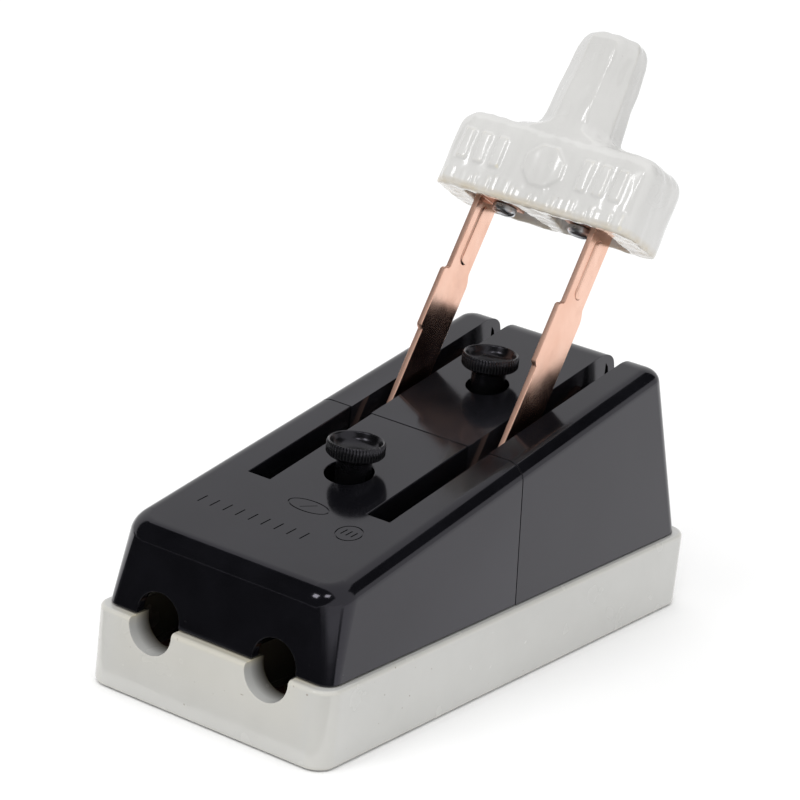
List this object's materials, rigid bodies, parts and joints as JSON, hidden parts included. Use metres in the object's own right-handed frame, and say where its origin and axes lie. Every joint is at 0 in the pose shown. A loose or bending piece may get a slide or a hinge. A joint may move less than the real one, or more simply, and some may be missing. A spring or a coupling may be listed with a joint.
{
  "type": "knife blade switch",
  "caption": "Two-pole open knife switch: porcelain base, black moulded covers with blade slots and thumb nuts, hinged copper blades joined by a porcelain handle.",
  "frame": {"origin": "centre of the base's underside, the face that lies on the panel", "axes": "+X across the two poles towards the right pole, +Y along the base from the load end to the line end, +Z out of the panel"},
  "size_m": [0.0664, 0.148, 0.1395],
  "materials": {
    "base_porcelain": "glossy off-white glaze",
    "handle_porcelain": "glossy off-white glaze, slightly wavy",
    "cover_phenolic": "glossy black compression-moulded phenolic",
    "knob_phenolic": "black moulded, knurled rim",
    "blade_copper": "bright drawn copper with soft edges",
    "contact_copper": "stamped copper strip",
    "turned_brass": "turned brass",
    "clamp_brass": "stamped brass",
    "spring_steel": "spring steel",
    "plated_steel": "zinc-plated steel",
    "fuse_metal": "dull soft fuse metal"
  },
  "bodies": {
    "switch_body": {"porcelain_base": "base_porcelain", "lower_cover": "cover_phenolic", "upper_cover": "cover_phenolic", "lower_cover_stud": "plated_steel", "lower_stud_lock_nut": "plated_steel", "upper_cover_stud": "plated_steel", "upper_stud_lock_nut": "plated_steel", "left_jaw_contact": "contact_copper", "left_jaw_spring": "spring_steel", "left_jaw_screw": "plated_steel", "left_line_washer": "clamp_brass", "left_line_screw": "plated_steel", "left_hinge_bracket": "contact_copper", "left_hinge_pin": "turned_brass", "left_hinge_washer": "spring_steel", "left_bracket_screw": "plated_steel", "left_upper_fuse_washer": "clamp_brass", "left_upper_fuse_screw": "plated_steel", "left_lower_fuse_washer": "clamp_brass", "left_lower_fuse_screw": "plated_steel", "left_fuse_wire": "fuse_metal", "left_load_terminal": "contact_copper", "left_load_washer": "clamp_brass", "left_load_screw": "plated_steel", "right_jaw_contact": "contact_copper", "right_jaw_spring": "spring_steel", "right_jaw_screw": "plated_steel", "right_line_washer": "clamp_brass", "right_line_screw": "plated_steel", "right_hinge_bracket": "contact_copper", "right_hinge_pin": "turned_brass", "right_hinge_washer": "spring_steel", "right_bracket_screw": "plated_steel", "right_upper_fuse_washer": "clamp_brass", "right_upper_fuse_screw": "plated_steel", "right_lower_fuse_washer": "clamp_brass", "right_lower_fuse_screw": "plated_steel", "right_fuse_wire": "fuse_metal", "right_load_terminal": "contact_copper", "right_load_washer": "clamp_brass", "right_load_screw": "plated_steel"},
    "blade_assembly": {"left_blade": "blade_copper", "right_blade": "blade_copper", "handle": "handle_porcelain", "left_handle_insert": "turned_brass", "right_handle_insert": "turned_brass", "left_handle_screw": "plated_steel", "right_handle_screw": "plated_steel"},
    "lower_bush": {"lower_nut_bush": "turned_brass"},
    "lower_knob": {"lower_thumb_nut": "knob_phenolic"},
    "upper_bush": {"upper_nut_bush": "turned_brass"},
    "upper_knob": {"upper_thumb_nut": "knob_phenolic"}
  },
  "joints": [
    {"name": "blade_swing", "type": "hinge", "parent": "switch_body", "child": "blade_assembly", "pos_m": [0, 0.0027, 0.03], "axis": [1, 0, 0], "range_deg": [-35.5, 88]},
    {"name": "lower_nut_rise", "type": "slide", "parent": "switch_body", "child": "lower_bush", "axis": [0, 0, 1], "range_m": [0, 0.0056]},
    {"name": "lower_nut_turn", "type": "hinge", "parent": "lower_bush", "child": "lower_knob", "pos_m": [0, -0.0255, 0.05], "axis": [0, 0, 1], "range_deg": [0, 2881]},
    {"name": "upper_nut_rise", "type": "slide", "parent": "switch_body", "child": "upper_bush", "axis": [0, 0, 1], "range_m": [0, 0.0056]},
    {"name": "upper_nut_turn", "type": "hinge", "parent": "upper_bush", "child": "upper_knob", "pos_m": [0, 0.0262, 0.05], "axis": [0, 0, 1], "range_deg": [0, 2881]}
  ],
  "couplings": [
    {"joint": "lower_nut_turn", "follows": "lower_nut_rise", "rad_per_m": 8976},
    {"joint": "upper_nut_turn", "follows": "upper_nut_rise", "rad_per_m": 8976}
  ]
}
